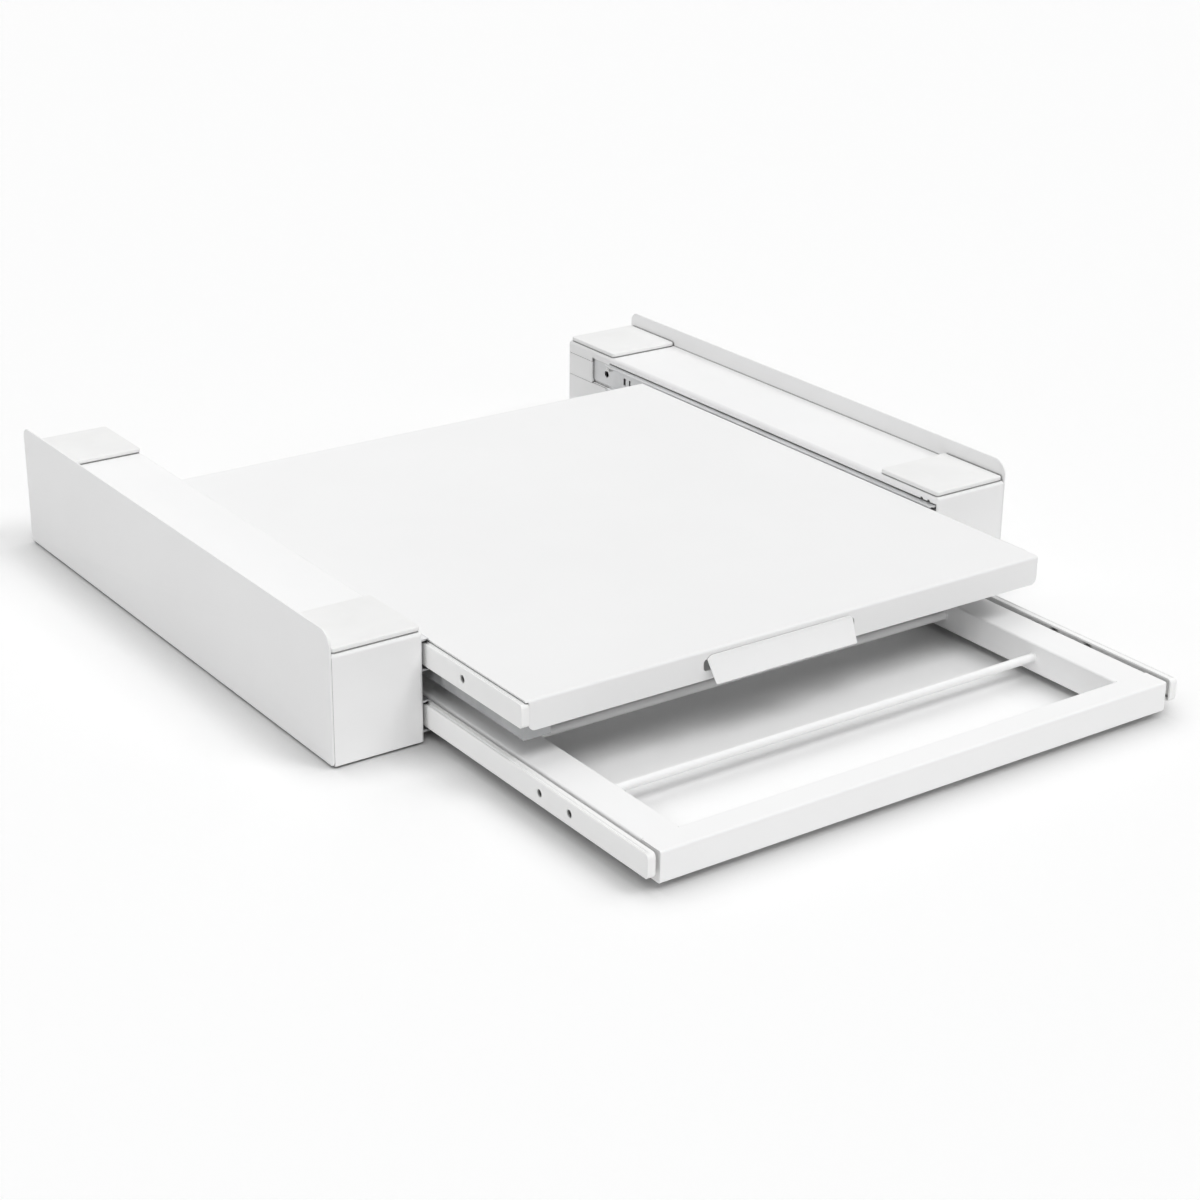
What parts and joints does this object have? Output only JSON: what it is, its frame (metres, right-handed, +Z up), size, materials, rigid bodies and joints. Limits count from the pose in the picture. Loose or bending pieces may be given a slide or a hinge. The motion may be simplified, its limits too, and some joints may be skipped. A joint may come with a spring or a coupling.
{
  "type": "stacking kit with pull-out shelf",
  "caption": "White steel stacking kit that joins a dryer to a washing machine, with a pull-out shelf above a pull-out rack of cross rods.",
  "frame": {"origin": "the middle of the kit's width and of its depth at rest, on the surface that it stands on", "axes": "+X to the right as seen from the front, +Y to the back, +Z up"},
  "size_m": [0.61, 0.7616, 0.1],
  "materials": {
    "white_coat": "satin white powder coat on steel sheet and tube",
    "white_rail": "smooth white coat on the inner slide rails",
    "zinc": "zinc-plated steel",
    "black_steel": "blackened steel",
    "ball_steel": "polished steel",
    "soft_pad": "matt off-white soft rubber",
    "black_rubber": "matt black rubber",
    "white_plastic": "matt white plastic"
  },
  "bodies": {
    "base": {"left_side_plate": "white_coat", "right_side_plate": "white_coat", "left_cover": "white_coat", "right_cover": "white_coat", "left_inner_wall": "white_coat", "right_inner_wall": "white_coat", "left_shelf_slide_carrier": "white_coat", "right_shelf_slide_carrier": "white_coat", "left_rack_slide_carrier": "white_coat", "right_rack_slide_carrier": "white_coat", "front_cross_rail": "white_coat", "rear_cross_rail": "white_coat", "cross_rail_screws": "zinc", "front_left_pad": "soft_pad", "front_right_pad": "soft_pad", "rear_left_pad": "soft_pad", "rear_right_pad": "soft_pad", "left_underside_strips": "black_rubber", "right_underside_strips": "black_rubber", "left_shelf_outer_rail": "zinc", "right_shelf_outer_rail": "zinc", "left_rack_outer_rail": "zinc", "right_rack_outer_rail": "zinc", "outer_rail_screws": "zinc", "closing_bumpers": "white_plastic"},
    "shelf": {"shelf_top": "white_coat", "shelf_front_lip": "white_coat", "left_shelf_channel": "zinc", "right_shelf_channel": "zinc", "front_shelf_stiffener": "white_coat", "rear_shelf_stiffener": "white_coat", "shelf_pull": "white_coat", "left_shelf_inner_rail": "white_rail", "right_shelf_inner_rail": "white_rail", "shelf_rail_screws": "black_steel"},
    "shelf_cages": {"left_shelf_ball_cage": "zinc", "right_shelf_ball_cage": "zinc", "shelf_balls": "ball_steel"},
    "rack": {"rack_front_tube": "white_coat", "rack_rear_tube": "white_coat", "rack_left_tube": "white_coat", "rack_right_tube": "white_coat", "rack_rods": "white_coat", "rack_end_plugs": "white_plastic", "left_rack_inner_rail": "white_rail", "right_rack_inner_rail": "white_rail", "rack_rail_spacers": "zinc", "rack_rail_screws": "black_steel"},
    "rack_cages": {"left_rack_ball_cage": "zinc", "right_rack_ball_cage": "zinc", "rack_balls": "ball_steel"}
  },
  "joints": [
    {"name": "shelf_slide", "type": "slide", "parent": "base", "child": "shelf", "axis": [0, -1, 0], "range_m": [-0.117, 0.233]},
    {"name": "shelf_cage_travel", "type": "slide", "parent": "base", "child": "shelf_cages", "axis": [0, -1, 0], "range_m": [-0.0586, 0.1166]},
    {"name": "rack_slide", "type": "slide", "parent": "base", "child": "rack", "axis": [0, -1, 0], "range_m": [-0.256, 0.094]},
    {"name": "rack_cage_travel", "type": "slide", "parent": "base", "child": "rack_cages", "axis": [0, -1, 0], "range_m": [-0.1281, 0.0471]}
  ],
  "couplings": [
    {"joint": "shelf_cage_travel", "follows": "shelf_slide", "ratio": 0.5},
    {"joint": "rack_cage_travel", "follows": "rack_slide", "ratio": 0.5}
  ]
}
